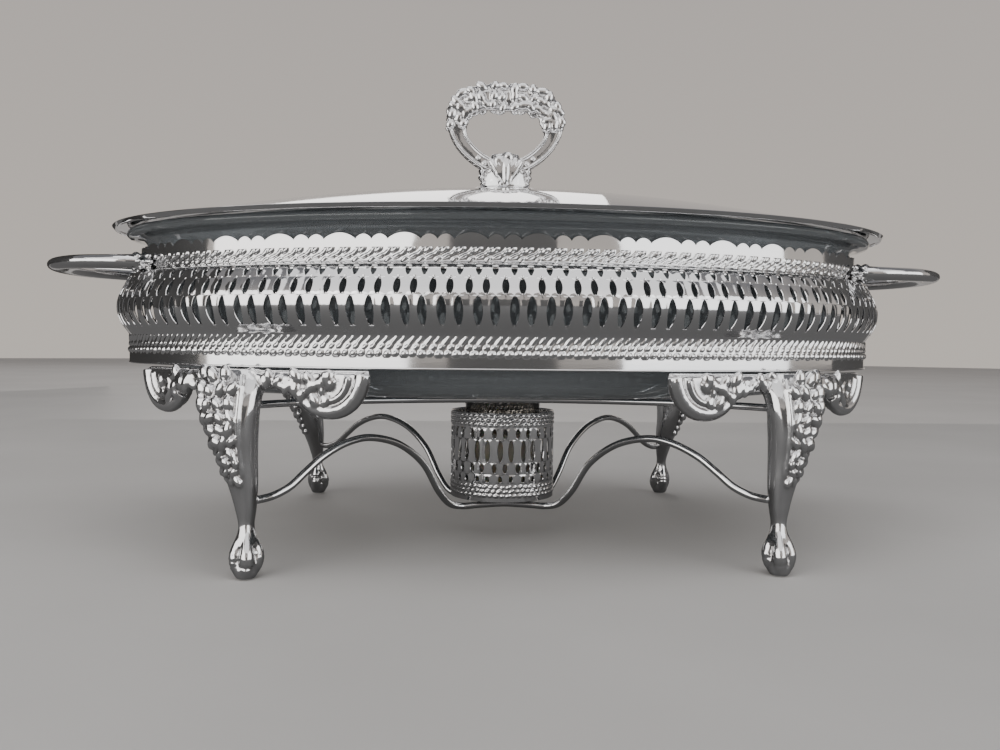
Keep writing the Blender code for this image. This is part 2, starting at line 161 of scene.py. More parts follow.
def plain_steel(name):
    mat, shader = shader_of(name, (0.60, 0.60, 0.61), 0.25, 1.0)
    ramp(mat, noise(mat, 300.0, 4.0), [(0.3, 0.18), (0.7, 0.38)], shader.inputs["Roughness"])
    ramp(mat, noise(mat, 90.0, 3.0), [(0.3, (0.50, 0.50, 0.50)), (0.7, (0.66, 0.66, 0.67))],
         shader.inputs["Base Color"])
    bump(mat, shader, noise(mat, 1500.0, 2.0, stretch=(1.0, 1.0, 0.1)), 0.000006)
    return mat


def glass(name, tint, clear=1.0):
    """Pressed glass: faint waves from the mould and soft wipe marks."""
    mat, shader = shader_of(name, tint, 0.03, 0.0)
    shader.inputs["Transmission Weight"].default_value = clear
    shader.inputs["IOR"].default_value = 1.50
    ramp(mat, noise(mat, 45.0, 4.0), [(0.40, 0.010), (0.75, 0.035)], shader.inputs["Roughness"])
    bump(mat, shader, noise(mat, 30.0, 1.0), 0.00003)
    return mat


def wax(name):
    mat, shader = shader_of(name, (0.88, 0.85, 0.78), 0.42, 0.0)
    shader.inputs["Subsurface Weight"].default_value = 0.35
    shader.inputs["Subsurface Radius"].default_value = (0.004, 0.003, 0.002)
    ramp(mat, noise(mat, 120.0, 4.0), [(0.3, (0.82, 0.78, 0.69)), (0.7, (0.91, 0.88, 0.82))],
         shader.inputs["Base Color"])
    bump(mat, shader, noise(mat, 260.0, 4.0), 0.00012)
    return mat


def wick(name):
    mat, shader = shader_of(name, (0.72, 0.68, 0.60), 0.9, 0.0)
    braid = add_node(mat, "ShaderNodeTexWave", Scale=900.0, Distortion=2.0)
    link(mat, add_node(mat, "ShaderNodeTexCoord").outputs["Object"], braid.inputs["Vector"])
    ramp(mat, braid.outputs["Color"], [(0.2, (0.42, 0.38, 0.32)), (0.8, (0.80, 0.76, 0.68))],
         shader.inputs["Base Color"])
    bump(mat, shader, braid.outputs["Fac"], 0.0001)
    return mat


# ================================================================ mesh helpers
def smooth_curve(x, points):
    """A smooth curve through (x, y) points, read at x."""
    xs, ys = np.array(points, float).T
    slopes = np.gradient(ys, xs)
    x = np.clip(np.asarray(x, float), xs[0], xs[-1])
    k = np.clip(np.searchsorted(xs, x, side="right") - 1, 0, len(xs) - 2)
    h = xs[k + 1] - xs[k]
    t = (x - xs[k]) / h
    return ((1 + 2 * t) * (1 - t) ** 2 * ys[k] + t * (1 - t) ** 2 * h * slopes[k]
            + t * t * (3 - 2 * t) * ys[k + 1] + t * t * (t - 1) * h * slopes[k + 1])


def smooth_path(points, steps, closed=False):
    """Catmull-Rom path through points of any length, steps per span, as an array."""
    points = np.array(points, float)
    count = len(points)
    rows = []
    for span in range(count if closed else count - 1):
        index = np.arange(span - 1, span + 3)
        index = index % count if closed else np.clip(index, 0, count - 1)
        a, b, c, d = points[index]
        for u in np.arange(steps) / steps:
            rows.append(0.5 * (2 * b + (c - a) * u + (2 * a - 5 * b + 4 * c - d) * u ** 2
                               + (3 * b - a - 3 * c + d) * u ** 3))
    if not closed:
        rows.append(points[-1])
    return np.array(rows)


def make_object(name, verts, faces, sharp=None):
    mesh = bpy.data.meshes.new(name)
    mesh.from_pydata([tuple(v) for v in np.asarray(verts, float)], [],
                     [tuple(int(i) for i in f) for f in faces])
    mesh.validate()
    mesh.shade_smooth()
    if sharp is not None:
        mesh.set_sharp_from_angle(angle=math.radians(sharp))
    obj = bpy.data.objects.new(name, mesh)
    bpy.context.scene.collection.objects.link(obj)
    return obj


def grid(rows, columns, wrap_rows=False, wrap_columns=False):
    """Quads of a grid of points stored row by row."""
    r = np.arange(rows if wrap_rows else rows - 1)
    c = np.arange(columns if wrap_columns else columns - 1)
    r, c = np.meshgrid(r, c, indexing="ij")
    r2, c2 = (r + 1) % rows, (c + 1) % columns
    return np.stack([r * columns + c, r * columns + c2, r2 * columns + c2, r2 * columns + c],
                    -1).reshape(-1, 4)


def turned_axes(first, second, lean):
    """Two unit axes turned by an angle in their own plane."""
    c, s = math.cos(lean), math.sin(lean)
    first, second = np.array(first), np.array(second)
    return first * c + second * s, second * c - first * s


class Skin:
    """Collects points and faces of several patches for one object."""

    def __init__(self):
        self.verts = []
        self.faces = []
        self.count = 0

    def add(self, verts, faces):
        verts = np.asarray(verts, float).reshape(-1, 3)
        self.verts.append(verts)
        self.faces += [tuple(int(i) + self.count for i in f) for f in faces]
        self.count += len(verts)

    def loft(self, rings, closed=False, capped=True):
        """Rings of equal counts, joined in turn."""
        rings = np.array(rings, float)
        rows, columns = rings.shape[:2]
        faces = [tuple(f) for f in grid(rows, columns, wrap_rows=closed, wrap_columns=True)]
        if capped and not closed:
            faces.append(tuple(range(columns))[::-1])
            faces.append(tuple(range((rows - 1) * columns, rows * columns)))
        self.add(rings, faces)

    def blob(self, centre, axes, sizes, segments=10, rounds=6):
        """An ellipsoid: axes are three unit vectors, sizes their half lengths."""
        a, b, c = (np.array(axis, float) * size for axis, size in zip(axes, sizes))
        turns = (np.arange(segments) / segments * math.tau)[:, None]
        leans = (math.pi * np.arange(1, rounds) / rounds)[:, None, None]
        level = np.cos(turns) * a + np.sin(turns) * b
        rings = np.array(centre, float) + np.cos(leans) * c + np.sin(leans) * level
        faces = [tuple(f) for f in grid(rounds - 1, segments, wrap_columns=True)]
        last, top = (rounds - 2) * segments, (rounds - 1) * segments
        for i in range(segments):
            j = (i + 1) % segments
            faces += [(top, j, i), (top + 1, last + i, last + j)]
        self.add([*rings.reshape(-1, 3), centre + c, centre - c], faces)

    def tube(self, path, radii, up=UP, sides=10):
        """A tapering rod along a path, its first point turned to stand square to up."""
        path = np.array(path, float)
        radii = np.broadcast_to(np.asarray(radii, float), len(path))
        rings = []
        for i, point in enumerate(path):
            along = path[min(i + 1, len(path) - 1)] - path[max(i - 1, 0)]
            along /= np.linalg.norm(along)
            side = np.cross(along, np.array(up, float))
            side /= max(np.linalg.norm(side), 1e-9)
            rings.append(soft_ring(point, side * radii[i], np.cross(side, along) * radii[i],
                                   sides, 1.0, 1.0))
        self.loft(rings)

    def build(self, name, sharp=None, outward=True):
        obj = make_object(name, np.concatenate(self.verts), self.faces, sharp)
        if outward:
            bm = bmesh.new()
            bm.from_mesh(obj.data)
            bmesh.ops.recalc_face_normals(bm, faces=bm.faces)
            bm.to_mesh(obj.data)
            bm.free()
        return obj


def oval_ring(a, b, z, steps):
    t = np.arange(steps) / steps * math.tau
    return np.stack([a * np.cos(t), b * np.sin(t), np.full(steps, z)], -1)


def soft_ring(centre, first, second, steps, power=0.9, other=0.9, pinch=0.0):
    """A ring between an ellipse (powers of 1) and a box. first and second are its half
    axes; pinch thins it along second at the middle."""
    t = np.arange(steps) / steps * math.tau
    c, s = np.cos(t), np.sin(t)
    s = np.sign(s) * np.abs(s) ** other * (1 - pinch * (1 - np.abs(c)))
    c = np.sign(c) * np.abs(c) ** power
    return np.array(centre) + c[:, None] * first + s[:, None] * second


def apply_modifiers(obj):
    """Puts the evaluated mesh in place of the object's mesh and clears the modifiers."""
    depsgraph = bpy.context.evaluated_depsgraph_get()
    mesh = bpy.data.meshes.new_from_object(obj.evaluated_get(depsgraph))
    obj.modifiers.clear()
    obj.data = mesh
    mesh.shade_smooth()


def fuse_casting(obj, voxel, keep, soften_steps=2):
    """Melts overlapping ornaments into one cast skin, then thins out its triangles."""
    remesh = obj.modifiers.new("fuse", "REMESH")
    remesh.mode = "VOXEL"
    remesh.voxel_size = voxel
    soften = obj.modifiers.new("soften", "SMOOTH")
    soften.factor = 0.5
    soften.iterations = soften_steps
    thin = obj.modifiers.new("thin", "DECIMATE")
    thin.ratio = keep
    apply_modifiers(obj)


def finish_piece(obj, body, mat, slot, *nodes):
    obj.data.materials.clear()
    obj.data.materials.append(mat)
    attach(obj, body)
    if nodes:
        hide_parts(*nodes)


# ================================================================ pierced and embossed sheet
class Wall:
    """An upright sheet wall round an oval. Heights and stand-offs are in millimetres, and u
    counts pattern repeats from the middle of the front."""

    def __init__(self, a, b, repeats, profile):
        self.a, self.b, self.repeats, self.profile = a, b, repeats, profile
        self.turns = np.linspace(0, math.tau, 4001)
        x, y = a * 0.97 * np.sin(self.turns), -b * 0.95 * np.cos(self.turns)
        run = np.concatenate([[0], np.cumsum(np.hypot(np.diff(x), np.diff(y)))])
        self.share = run / run[-1]
        self.pitch = run[-1] / repeats / MM

    def points(self, u, z, out=0.0):
        u, z, out = np.broadcast_arrays(u, z, out)
        t = np.interp(u / self.repeats % 1.0, self.share, self.turns)
        offset = smooth_curve(z, self.profile) * MM
        foot = np.stack([(self.a + offset) * np.sin(t), -(self.b + offset) * np.cos(t)], -1)
        normal = np.stack([np.sin(t) / self.a, -np.cos(t) / self.b], -1)
        normal /= np.linalg.norm(normal, axis=-1, keepdims=True)
        return np.concatenate([foot + normal * out[..., None] * MM, z[..., None] * MM], -1)

    def strip(self, skin, z_low, z_high, rows, per_repeat, relief=None, top=None):
        """A plain or embossed strip right round. top gives a height for the upper edge."""
        columns = self.repeats * per_repeat
        u = np.arange(columns)[None, :] / per_repeat
        crest = z_high if top is None else top(u)
        z = z_low + (crest - z_low) * np.linspace(0, 1, rows + 1)[:, None]
        u, z = np.broadcast_arrays(u, z)
        out = 0.0 if relief is None else relief(u, z)
        skin.add(self.points(u, z, out), grid(rows + 1, columns, wrap_columns=True))

    def emboss(self, blobs):
        """A repeating relief for strip; blobs are (place in the repeat, middle z, half
        length, half width, lean in degrees, height)."""
        def relief(u, z):
            height = np.zeros(u.shape)
            for place, z0, long, wide, lean, rise in blobs:
                across = ((u - place + 0.5) % 1.0 - 0.5) * self.pitch
                c, s = math.cos(math.radians(lean)), math.sin(math.radians(lean))
                p = (across * c + (z - z0) * s) / long
                q = (-across * s + (z - z0) * c) / wide
                height = np.maximum(height, rise * np.sqrt(np.clip(1.0 - p * p - q * q, 0.0, 1.0)))
            return height
        return relief

    def pierced(self, skin, z_low, z_high, hole, phase, columns, side_steps, jitter):
        """A strip with one hole in each repeat. Odd and even holes are moved apart by
        jitter, and the sheet left round each hole is drawn up towards its edge."""
        half = side_steps // 2
        edge = [(1.0, k / side_steps) for k in range(half, side_steps)]
        edge += [(1.0 - k / columns, 1.0) for k in range(columns)]
        edge += [(0.0, 1.0 - k / side_steps) for k in range(side_steps)]
        edge += [(k / columns, 0.0) for k in range(columns)]
        edge += [(1.0, k / side_steps) for k in range(half)]
        edge = np.array(edge)
        count = len(edge)
        corners = np.cumsum([side_steps - half, columns, side_steps, columns])
        degrees = np.interp(np.arange(count), [0, *corners, count], [0, 62, 118, 242, 298, 360])
        outline = hole(np.radians(degrees))
        hole_z = outline[:, 1]
        outer_z = z_low + (z_high - z_low) * edge[:, 1]
        for repeat in range(self.repeats):
            shift = jitter * (1 if repeat % 2 else -1)
            outer_u = repeat + phase + edge[:, 0] - 0.5
            hole_u = repeat + phase + shift + outline[:, 0] / self.pitch
            gap = np.hypot((hole_u - outer_u) * self.pitch, hole_z - outer_z)
            swell = np.clip(gap / 1.2, 0.0, 1.0)
            rings = [self.points(outer_u + (hole_u - outer_u) * share,
                                 outer_z + (hole_z - outer_z) * share, out * swell)
                     for share, out in HOLE_LIP]
            skin.add(np.array(rings), grid(len(rings), count, wrap_columns=True))


# Shares of the way from a hole's surround to its edge, with the sheet's stand-off there.
HOLE_LIP = [(0.0, 0.0), (0.45, 0.01), (0.82, 0.13), (0.94, 0.11), (1.0, -0.12)]


def hole(z_mid, half_high, half_wide, power=1.5, foot=1.0, widen=0.0):
    """Outline of a hole, in millimetres. power of 1.5 makes a boat shape and 0.7 a blunt
    one; foot is its share of full width at the bottom, widen what it gains by the top."""
    def outline(turns):
        c, s = np.cos(turns), np.sin(turns)
        across = half_wide * np.sign(c) * np.abs(c) ** power * (foot + widen * (0.5 + 0.5 * s))
        return np.stack([across, z_mid + half_high * s], -1)
    return outline


def ridge(middle, half, rise):
    """A rounded bead that runs along a strip."""
    return lambda u, z: rise * np.sqrt(np.clip(1 - ((z - middle) / half) ** 2, 0, 1))


def finish_sheet(obj):
    """Welds the strips, gives the sheet its thickness and shades it."""
    weld = obj.modifiers.new("weld", "WELD")
    weld.merge_threshold = 0.00002
    thick = obj.modifiers.new("sheet", "SOLIDIFY")
    thick.thickness = SHEET * MM
    thick.offset = -1.0
    apply_modifiers(obj)
    obj.data.set_sharp_from_angle(angle=math.radians(50))


# ================================================================ gallery
# The band's profile: (height, offset from the bulge).
BAND = [(72.7, -4.8), (79.0, -4.8), (84.0, -4.8), (84.8, -4.5), (86.0, -3.7), (88.5, -2.0),
        (91.0, -0.8), (96.0, 0.0), (98.5, -0.3), (100.5, -0.9), (102.5, -1.8), (104.4, -2.8),
        (106.5, -3.9), (108.3, -5.0), (109.1, -6.0), (109.6, -7.6), (109.9, -8.9), (110.4, -9.5),
        (111.5, -9.6), (117.5, -9.6), (121.0, -9.7)]

UPPER_BORDER = [(0.45, 114.3, 1.60, 0.85, 38, 0.55), (0.95, 113.2, 1.55, 0.75, 42, 0.50),
                (0.55, 112.0, 2.20, 0.72, 27, 0.55), (0.02, 111.0, 1.45, 0.62, 35, 0.42),
                (0.12, 114.5, 0.95, 0.55, 30, 0.36)]
LOWER_BORDER = [(0.20, 83.0, 1.55, 0.50, 52, 0.46), (0.70, 82.7, 2.10, 0.60, 50, 0.55),
                (0.45, 80.7, 1.35, 0.72, 36, 0.48), (0.98, 80.6, 1.25, 0.64, 40, 0.42),
                (0.30, 78.2, 1.30, 1.10, 25, 0.66), (0.80, 78.4, 1.15, 0.85, 30, 0.52)]


def scallop(u):
    """Upper edge: one wide scallop two repeats long, then two small ones."""
    place = u % 4.0
    wide = np.abs(np.sin(math.pi * place / 2.0)) ** 0.7
    small = np.abs(np.sin(math.pi * place)) ** 0.7
    return 117.9 + np.where(place < 2.0, 2.3 * wide, 1.8 * small)


def build_gallery(chrome):
    wall = Wall(BULGE_A, BULGE_B, PITCHES, BAND)
    sheet = Skin()
    wall.strip(sheet, 72.7, 73.4, 6, 2, ridge(73.05, 0.35, 0.25))
    wall.strip(sheet, 73.4, 76.6, 2, 2)
    wall.strip(sheet, 84.3, 87.5, 6, 10)
    for z_low, z_high, shape, phase, side_steps in (
            (87.5, 98.3, hole(92.95, 5.2, 1.50), 0.5, 8),
            (98.3, 104.5, hole(101.3, 2.95, 1.15), 0.0, 6),
            (104.5, 108.5, hole(106.55, 1.35, 1.25, 0.7, 0.18, 0.95), 0.5, 4)):
        wall.pierced(sheet, z_low, z_high, shape, phase, 10, side_steps, 0.035)
    wall.strip(sheet, 108.5, 110.2, 12, 10)
    wall.strip(sheet, 115.2, 118.4, 6, 10, top=scallop)
    gallery = sheet.build("gallery_pierced_sheet", outward=False)
    finish_sheet(gallery)

    border, lining = Skin(), Skin()
    for low, high, rows, blobs in ((110.2, 115.2, 15, UPPER_BORDER), (76.6, 84.3, 22, LOWER_BORDER)):
        wall.strip(border, low, high, rows, 16, wall.emboss(blobs))
        u = np.arange(PITCHES * 2)[None, :] / 2
        inner = wall.points(u, np.array([low, high])[:, None], -SHEET)
        lining.add(inner[::-1], grid(2, PITCHES * 2, wrap_columns=True))
    borders = border.build("gallery_rope_borders", outward=False)
    backs = lining.build("gallery_border_backs", outward=False)

    flange = Skin()
    a, b = BULGE_A - STRIP_IN, BULGE_B - STRIP_IN
    flange.loft([oval_ring(a - inset * MM, b - inset * MM, BAND_LOW_Z + rise * MM, 2 * PITCHES)
                 for inset, rise in ((0.2, 0.0), (0.2, SHEET), (5.5, SHEET), (5.5, 0.0))],
                closed=True)
    shelf = flange.build("gallery_flange", sharp=40)
    finish_piece(gallery, "frame", chrome, "chrome_sheet", "gallery_band")
    for piece in (borders, backs, shelf):
        finish_piece(piece, "frame", chrome, "chrome_sheet")


# ================================================================ burner cup
CUP_UPPER = [(0.25, 51.0, 1.00, 0.60, 40, 0.40), (0.75, 51.1, 0.90, 0.55, 45, 0.36),
             (0.50, 49.3, 1.10, 0.62, 40, 0.42), (0.00, 49.2, 0.95, 0.55, 38, 0.36),
             (0.25, 47.5, 1.00, 0.60, 40, 0.38), (0.75, 47.4, 0.90, 0.55, 42, 0.34)]
CUP_LOWER = [(0.25, 20.9, 1.00, 0.60, 40, 0.40), (0.75, 20.8, 0.90, 0.55, 45, 0.36),
             (0.50, 19.1, 1.10, 0.62, 40, 0.42), (0.00, 19.0, 0.95, 0.55, 38, 0.36),
             (0.25, 17.2, 1.00, 0.70, 30, 0.42), (0.75, 17.2, 0.90, 0.60, 34, 0.38)]


def build_burner_cup(chrome):
    upright = [(0.0, 0.0), (30.0, 0.0), (60.0, 0.0)]
    wall = Wall(CUP_R, CUP_R, 28, upright)
    sheet = Skin()
    wall.strip(sheet, CUP_LOW_Z / MM, 15.4, 1, 12)
    wall.strip(sheet, 22.2, 22.4, 1, 12)
    for z_low, z_high, shape, phase, side_steps in (
            (22.4, 26.4, hole(24.25, 1.35, 0.95, 0.7, 1.0, -0.35), 0.5, 4),
            (26.4, 31.2, hole(28.9, 2.2, 0.95), 0.0, 4),
            (31.2, 41.2, hole(36.2, 4.85, 1.15), 0.5, 8),
            (41.2, 46.0, hole(43.6, 2.25, 0.95), 0.0, 4)):
        wall.pierced(sheet, z_low, z_high, shape, phase, 12, side_steps, 0.05)
    wall.strip(sheet, 46.0, 51.9, 20, 12, wall.emboss(CUP_UPPER))
    wall.strip(sheet, 51.9, CUP_TOP_Z / MM, 4, 12, ridge(52.2, 0.3, 0.2))
    wall.strip(sheet, 15.4, 22.2, 22, 12, wall.emboss(CUP_LOWER))
    cup = sheet.build("burner_pierced_cup", outward=False)
    finish_sheet(cup)
    finish_piece(cup, "frame", chrome, "chrome_sheet", "burner_sleeve")


# ================================================================ lid and dish
def build_lid(chrome):
    """Thin flat rim over a lip that leans inwards, low gently peaked crown; both faces of
    one sheet."""
    edge_z = LID_LOW_Z + 2.4 * MM
    steps = 256
    rim = [(-4.0, 0.30), (-1.0, 0.25), (-0.25, 0.15), (0.0, -0.1), (-0.2, -0.4), (-0.8, -1.1),
           (-1.1, -1.45), (-1.45, -1.5), (-1.65, -1.25), (-1.5, -0.95), (-2.2, -0.65), (-4.0, -0.6)]
    low = edge_z + 0.2 * MM
    shoulder, fullness = 0.955, 1.8
    crown = [(reach, low + (LID_TOP_Z - low) * (1 - (reach / shoulder) ** fullness))
             for reach in np.linspace(shoulder, 0.05, 30)]
    hole_r = 2.3 * MM
    rings = [oval_ring(LID_A + dx * MM, LID_B + dx * MM, edge_z + dz * MM, steps)
             for dx, dz in reversed(rim)]
    rings += [oval_ring(LID_A * reach, LID_B * reach, z, steps) for reach, z in crown]
    rings.append(oval_ring(hole_r, hole_r, LID_TOP_Z, steps))
    rings.append(oval_ring(hole_r, hole_r, LID_TOP_Z - SHEET * MM, steps))
    inset = 0.15 * MM
    rings += [oval_ring(LID_A * reach - inset, LID_B * reach - inset, z - SHEET * MM, steps)
              for reach, z in reversed(crown)]
    skin = Skin()
    skin.loft(rings, closed=True)
    finish_piece(skin.build("lid_crown", sharp=60), "lid", chrome, "chrome_sheet", "lid_dome")


def build_dish(mat):
    """Glass casserole: rings of (half length, half width, height), outside then inside."""
    outer = [(40.0, 20.0, 61.9), (113.0, 60.0, 61.9), (116.5, 62.5, 61.35), (120.0, 65.5, 61.4),
             (126.5, 71.0, 62.4), (133.0, 75.8, 64.8), (138.5, 79.5, 68.2), (142.5, 81.8, 73.5),
             (145.5, 83.5, 80.0), (148.0, 85.0, 90.0), (150.0, 86.2, 100.0), (152.5, 87.8, 118.0),
             (153.2, 88.5, 122.0), (154.5, 90.0, 123.6), (157.5, 93.0, 124.0),
             (160.0, 95.5, 124.2), (160.9, 96.2, 125.0), (161.0, 96.2, 126.2),
             (160.4, 95.6, 127.2), (159.5, 94.5, 127.45), (155.0, 90.5, 127.5)]
    inner = [(154.0, 89.3, 127.3), (153.2, 88.6, 126.4), (152.5, 87.8, 118.0),
             (150.0, 86.2, 100.0), (148.0, 85.0, 90.0), (145.5, 83.5, 82.0), (142.0, 81.2, 75.5),
             (137.0, 78.0, 70.5), (131.0, 73.8, 67.4), (124.0, 69.0, 65.8), (115.0, 62.0, 65.5),
             (40.0, 20.0, 65.5)]
    wall = 4.116
    rings = outer + [(a - wall, b - wall, z) for a, b, z in inner]
    skin = Skin()
    skin.loft([oval_ring(a * MM, b * MM, z * MM, 224) for a, b, z in rings])
    finish_piece(skin.build("glass_casserole", sharp=60), "dish", mat, "dish_glass", "glass_dish")


# ================================================================ cast legs
LEG_ANGLE, OUTER_WING, INNER_WING = 0.690, 0.914, 0.420    # round the oval from the front
KNEE_TOP = 72.2

# Leg levels: (z, towards the middle, outwards, half width, half depth), millimetres.
LEG = [(72.4, 2.4, 0.8, 10.3, 7.0), (68.5, 3.0, 2.6, 12.2, 7.4), (62.0, 4.0, 6.0, 12.0, 6.2),
       (52.0, 5.7, 7.2, 9.7, 6.4), (42.0, 7.9, 7.2, 7.2, 5.6), (32.0, 10.3, 7.2, 5.1, 4.5),
       (24.0, 11.8, 7.6, 3.5, 3.5), (17.0, 12.6, 8.2, 2.5, 2.9), (13.0, 13.1, 8.7, 3.6, 3.8),
       (7.0, 13.5, 9.4, 4.8, 5.2), (2.2, 13.6, 9.8, 4.2, 4.6), (0.0, 13.6, 9.8, 3.0, 3.4)]


def oval_place(angle, out, z, side):
    """A point outside the band's lower edge and the outward normal there. side mirrors
    both in X and Y."""
    a, b = BULGE_A - STRIP_IN, BULGE_B - STRIP_IN
    foot = np.array([a * math.sin(angle), -b * math.cos(angle), 0.0])
    normal = np.array([foot[0] / a ** 2, foot[1] / b ** 2, 0.0])
    normal /= np.linalg.norm(normal)
    mirror = np.array([side[0], side[1], 1.0])
    return (foot + normal * out + UP * z) * mirror, normal * mirror


def oval_axes(angle, side):
    """Unit vectors towards the middle of the long side, and outwards."""
    _, normal = oval_place(angle, 0.0, 0.0, side)
    return np.array([-abs(normal[1]) * side[0], -abs(normal[0]) * side[1], 0.0]), normal


def leg_at(z):
    """Along, out, half width and half depth of the leg at height z, in metres."""
    return [float(smooth_curve(z / MM, [(row[0], row[k]) for row in LEG[::-1]])) * MM
            for k in (1, 2, 3, 4)]


def build_leg(name, node, side, mat):
    """Cabriole leg: smooth flat inner face, leaf relief down the outer two thirds of its
    front, claws round a ball at the toe, and a shell wing either side of the knee."""
    origin, _ = oval_place(LEG_ANGLE, 0.0, 0.0, side)
    tangent, normal = oval_axes(LEG_ANGLE, side)
    skin = Skin()

    def place(along, out, z):
        return origin + tangent * along + normal * out + UP * z

    rings = []
    for z in np.linspace(11.5 * MM, KNEE_TOP * MM, 34):
        along, out, wide, deep = leg_at(z)
        rings.append(soft_ring(place(along, out, z), tangent * wide, normal * deep * 0.94, 32,
                               0.72, 0.8))
    skin.loft(rings)
    build_foot(skin, place)

    rng = np.random.default_rng(7)
    build_leaves(skin, place, (tangent, normal), rng)

    # Ridge between the leaves and the smooth face.
    rib = []
    for z in np.linspace(70.0, 36.0, 20) * MM:
        along, out, wide, deep = leg_at(z)
        rib.append(place(along + wide * 0.64, out + deep * 0.84, z))
    skin.tube(rib, np.linspace(1.2, 0.4, 20) * MM, up=normal, sides=8)

    build_wing(skin, side, INNER_WING, 1.0, 14.4, rng)
    build_wing(skin, side, OUTER_WING, -1.0, 12.2, rng)
    for angle_from, angle_to in ((0.500, 0.630), (0.730, 0.850)):
        build_scroll(skin, side, angle_from, angle_to, rng)

    leg = skin.build(name)
    fuse_casting(leg, 0.42 * MM, 0.40)
    finish_piece(leg, "frame", mat, "cast_chrome", node)


def build_leaves(skin, place, axes, rng):
    """Rows of leaves down a leg, smaller towards the ankle."""
    tangent, normal = axes
    z, row = 70.0, 0
    while z > 33.0:
        along, out, wide, deep = leg_at(z * MM)
        size = 1.00 + 1.15 * (z - 30.0) / 42.0
        left, right = -wide / MM * 0.98, wide / MM * 0.52
        count = max(int(round((right - left) / (2.4 * size))), 1)
        for k in range(count):
            x = (left + (right - left) * (k + 0.5 + 0.3 * (row % 2 - 0.5)) / count) * MM
            x += rng.uniform(-0.25, 0.25) * size * MM
            bulge = deep * math.sqrt(max(1 - (x / wide) ** 2, 0.10))
            grow = size * rng.uniform(0.85, 1.15) * MM
            a0, a1 = turned_axes(tangent, UP, rng.uniform(-0.9, 0.9))
            long = rng.uniform(1.5, 2.1)
            skin.blob(place(along + x, out + bulge + rng.uniform(-0.15, 0.35) * grow,
                            z * MM + rng.uniform(-0.4, 0.4) * MM),
                      (a0, normal, a1), (grow * 1.15, grow * 0.85, grow * long))
        for share in (-0.55, 0.25):
            grow = size * rng.uniform(0.95, 1.30) * MM
            skin.blob(place(along - wide * 0.96, out + deep * (share + rng.uniform(-0.15, 0.15)),
                            z * MM + rng.uniform(-0.6, 0.6) * MM),
                      (normal, tangent, UP), (grow * 1.1, grow * 0.8, grow * rng.uniform(1.2, 1.7)))
        z -= 2.5 * size
        row += 1


def build_foot(skin, place):
    """A ball held by four long claws that spring from the ankle."""
    levels = [(0.0, 2.3, 2.5), (0.5, 3.1, 3.4), (1.5, 3.8, 4.1), (3.2, 4.2, 4.5), (5.5, 3.9, 4.2),
              (8.0, 3.0, 3.3), (12.0, 2.0, 2.3)]
    turns = np.arange(28) / 28 * math.tau
    rings = []
    for z, wide, deep in levels:
        along, out, _, _ = leg_at(z * MM)
        rings.append([place(along + wide * MM * math.cos(t), out + deep * MM * math.sin(t), z * MM)
                      for t in turns])
    skin.loft(rings)
    for k in range(4):
        turn = math.radians(48 + 90 * k)
        path, radii = [], []
        for share in np.linspace(0, 1, 12):
            z = (18.0 - 17.0 * share) * MM
            along, out, wide, deep = leg_at(z)
            hug = 0.62 + 0.10 * math.sin(math.pi * share)
            path.append(place(along + math.cos(turn) * wide * hug,
                              out + math.sin(turn) * deep * hug, z))
            radii.append((0.75 + 1.85 * math.sin(math.pi * share ** 1.5)) * MM)
        skin.tube(path, radii)


def build_wing(skin, side, angle, lead, half_wide, rng):
    """A hanging shell: smooth rounded lip with a rib inside it on one side, leaves on the
    other. lead is +1 where the smooth lip faces the middle of the long side."""
    origin, _ = oval_place(angle, 0.0, 0.0, side)
    tangent, normal = oval_axes(angle, side)
    drop_high = 15.6

    def outline(turn, share=1.0):
        """Edge point at an angle below the top edge: 0 is the leading corner."""
        c, s = math.cos(turn), max(math.sin(turn), 0.0)
        x = lead * half_wide * math.copysign(abs(c) ** 0.92, c) * (1 - 0.05 * s) * share
        return x, KNEE_TOP - drop_high * s ** 0.92 * share - 4.5 * (1 - share)

    def spot(x, z, out):
        return origin + (tangent * x + UP * z + normal * out) * MM

    rings = []
    for share, out in ((0.06, 4.6), (0.40, 4.7), (0.70, 4.6), (0.90, 3.6), (1.0, 1.6),
                       (0.97, -0.8), (0.60, -1.6), (0.06, -1.8)):
        first, last = outline(0.0, share), outline(math.pi, share)
        ring = [spot(*outline(t, share), out) for t in np.linspace(0, math.pi, 28)]
        ring += [spot(last[0] + (first[0] - last[0]) * k / 8, first[1], out) for k in range(1, 8)]
        rings.append(ring)
    skin.loft(rings)

    for share, thick, rise, end in ((0.87, 3.10, 2.6, 2.45), (0.54, 1.20, 4.3, 1.60)):
        path, radii = [], []
        for turn in np.linspace(0.03, end, 16):
            path.append(spot(*outline(turn, share), rise))
            fade = math.sin(math.pi * min(0.25 + 0.75 * (1 - (turn / end) ** 2), 1.0) * 0.5)
            radii.append(thick * (0.45 + 0.55 * fade) * MM)
        skin.tube(path, radii, up=normal)

    for _ in range(20):
        x = -lead * rng.uniform(-0.15, 0.80) * half_wide
        depth = math.sqrt(max(1 - (x / half_wide) ** 2, 0.1)) * drop_high * 0.82
        z = KNEE_TOP - 1.0 - rng.uniform(0.0, 1.0) * (depth - 1.5)
        grow = rng.uniform(1.5, 2.1) * MM
        a0, a1 = turned_axes(tangent, UP, rng.uniform(-0.7, 0.7))
        skin.blob(spot(x, z, 4.5), (a0, normal, a1),
                  (grow * 0.9, grow * 0.7, grow * rng.uniform(1.2, 1.7)))


